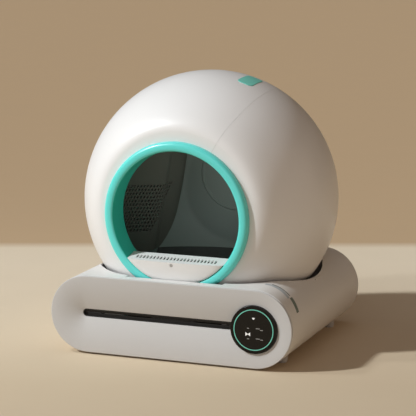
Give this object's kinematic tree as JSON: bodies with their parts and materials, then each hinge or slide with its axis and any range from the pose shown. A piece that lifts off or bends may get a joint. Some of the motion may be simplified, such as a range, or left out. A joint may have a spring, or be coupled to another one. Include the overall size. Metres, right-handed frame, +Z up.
{
  "type": "self cleaning litter box",
  "caption": "Self cleaning litter box: a globe with a teal entry collar and slotted step on a flat base, a turning sifting drum inside, and a pull-out waste drawer with a round control pod.",
  "frame": {"origin": "on the floor, under the middle of the whole", "axes": "+Z up, -Y out of the entry and the drawer, +X towards the control pod's side"},
  "size_m": [0.5394, 0.462, 0.5727],
  "materials": {
    "shell_white": "satin warm white moulding",
    "base_white": "fine matt warm white moulding",
    "trim_teal": "satin teal moulding",
    "drum_grey": "matt dark grey moulding",
    "sieve_grey": "matt charcoal moulding",
    "rubber_dark": "matt dark rubber",
    "pod_black": "polished black",
    "light_teal": "lit teal light guide",
    "inner_grey": "moulded grey",
    "nylon": "natural nylon",
    "steel": "plain steel",
    "board_green": "circuit board",
    "carbon": "carbon filter cartridge"
  },
  "bodies": {
    "base": {"base_cover": "base_white", "base_tray": "base_white", "rear_cover": "base_white", "foot_front_left": "base_white", "foot_front_right": "base_white", "foot_rear_left": "base_white", "foot_rear_right": "base_white", "front_bulkhead": "inner_grey", "chute_deck": "inner_grey", "power_inlet": "pod_black", "control_board": "board_green", "pod_housing": "pod_black", "pod_lens": "pod_black", "light_ring": "light_teal", "pod_board": "board_green", "motor_bracket": "steel", "gearbox": "inner_grey", "gear_motor": "steel", "stand_front_left": "inner_grey", "stand_front_right": "inner_grey", "stand_rear_left": "inner_grey", "stand_rear_right": "inner_grey", "axle_front_left": "steel", "axle_front_right": "steel", "axle_rear_left": "steel", "axle_rear_right": "steel", "shell_left": "shell_white", "shell_right": "shell_white", "entry_collar": "trim_teal", "collar_seal": "rubber_dark", "entry_step": "shell_white", "step_sensor": "pod_black", "button_cup": "inner_grey", "button_spring": "steel"},
    "drum": {"drum_front": "drum_grey", "drum_rear": "drum_grey", "drum_back_panel": "drum_grey", "litter_liner": "rubber_dark", "sieve_panel": "sieve_grey", "port_frame": "rubber_dark", "ring_gear": "nylon"},
    "drawer": {"drawer_front": "base_white", "slot_liner": "pod_black", "drawer_seal": "rubber_dark", "waste_bin": "inner_grey", "bag_ring": "inner_grey", "filter_box": "carbon"},
    "pinion": {"drive_pinion": "nylon"},
    "button": {"release_button": "trim_teal"},
    "front_left_roller": {"roller_front_left": "nylon"},
    "front_right_roller": {"roller_front_right": "nylon"},
    "rear_left_roller": {"roller_rear_left": "nylon"},
    "rear_right_roller": {"roller_rear_right": "nylon"}
  },
  "joints": [
    {"name": "drum_spin", "type": "hinge", "parent": "base", "child": "drum", "pos_m": [0, 0, 0.293], "axis": [0, 1, 0], "continuous": true},
    {"name": "drawer_slide", "type": "slide", "parent": "base", "child": "drawer", "axis": [0, -1, 0], "range_m": [0, 0.33]},
    {"name": "button_press", "type": "slide", "parent": "base", "child": "button", "axis": [-0.3322, 0, -0.9432], "range_m": [0, 0.003], "stiffness_N_per_m": 400, "springref_m": -0.003},
    {"name": "pinion_spin", "type": "hinge", "parent": "base", "child": "pinion", "pos_m": [0.04263, 0, 0.09242], "axis": [0, 1, 0], "continuous": true},
    {"name": "front_left_roller_spin", "type": "hinge", "parent": "base", "child": "front_left_roller", "pos_m": [-0.18408, 0, 0.13854], "axis": [0, 1, 0], "continuous": true},
    {"name": "front_right_roller_spin", "type": "hinge", "parent": "base", "child": "front_right_roller", "pos_m": [0.18408, 0, 0.13854], "axis": [0, 1, 0], "continuous": true},
    {"name": "rear_left_roller_spin", "type": "hinge", "parent": "base", "child": "rear_left_roller", "pos_m": [-0.18408, 0, 0.13854], "axis": [0, 1, 0], "continuous": true},
    {"name": "rear_right_roller_spin", "type": "hinge", "parent": "base", "child": "rear_right_roller", "pos_m": [0.18408, 0, 0.13854], "axis": [0, 1, 0], "continuous": true}
  ],
  "couplings": [
    {"joint": "pinion_spin", "follows": "drum_spin", "ratio": -7.2},
    {"joint": "front_left_roller_spin", "follows": "drum_spin", "ratio": -16.143},
    {"joint": "front_right_roller_spin", "follows": "drum_spin", "ratio": -16.143},
    {"joint": "rear_left_roller_spin", "follows": "drum_spin", "ratio": -16.143},
    {"joint": "rear_right_roller_spin", "follows": "drum_spin", "ratio": -16.143}
  ]
}
